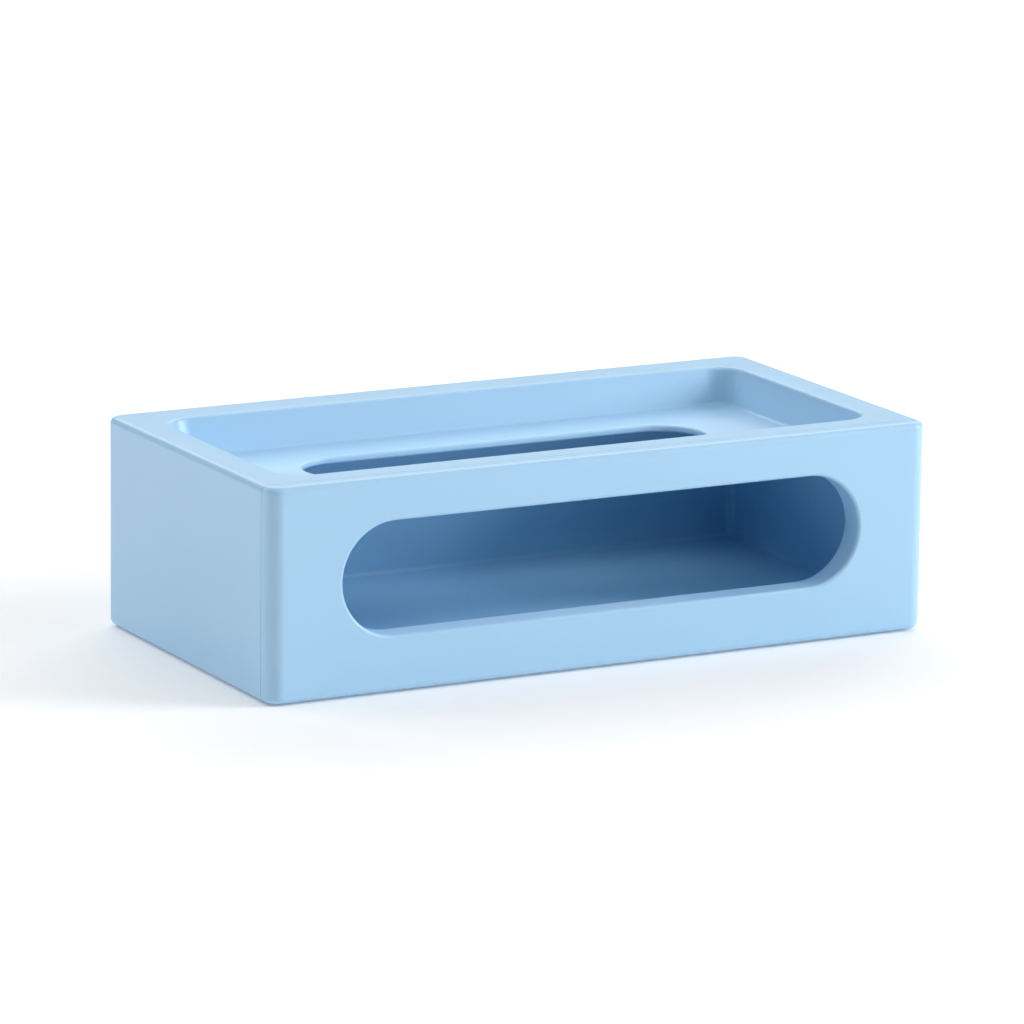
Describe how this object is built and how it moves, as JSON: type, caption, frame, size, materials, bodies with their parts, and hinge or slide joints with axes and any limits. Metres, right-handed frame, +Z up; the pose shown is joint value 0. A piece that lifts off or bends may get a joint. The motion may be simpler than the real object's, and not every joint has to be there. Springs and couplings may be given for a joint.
{
  "type": "tissue box with drawer",
  "caption": "Low rectangular tissue box with a sunk tray top, a round-ended tissue slot and a pull-out drawer whose front has a long round-ended window.",
  "frame": {"origin": "middle of the footprint, on the plane that the foot pads stand on", "axes": "+X along the length to the right, -Y out of the drawer front, +Z up"},
  "size_m": [0.25, 0.128, 0.0732],
  "materials": {
    "casing_plastic": "fine satin moulded ABS",
    "drawer_plastic": "fine satin moulded ABS",
    "base_plastic": "fine satin moulded ABS",
    "rail_plastic": "self-coloured acetal, smooth",
    "screw_steel": "zinc plated",
    "foot_rubber": "matt moulded rubber",
    "bumper_rubber": "matt moulded rubber"
  },
  "bodies": {
    "housing": {"casing": "casing_plastic", "base_plate": "base_plastic", "base_screws": "screw_steel", "left_rail": "rail_plastic", "right_rail": "rail_plastic", "rail_screws": "screw_steel", "front_left_foot": "foot_rubber", "front_right_foot": "foot_rubber", "rear_left_foot": "foot_rubber", "rear_right_foot": "foot_rubber", "left_rear_bumper": "bumper_rubber", "right_rear_bumper": "bumper_rubber"},
    "drawer": {"drawer_front": "drawer_plastic", "drawer_bin": "drawer_plastic", "front_screws": "screw_steel"}
  },
  "joints": [
    {"name": "drawer_slide", "type": "slide", "parent": "housing", "child": "drawer", "axis": [0, -1, 0], "range_m": [0, 0.08]}
  ]
}
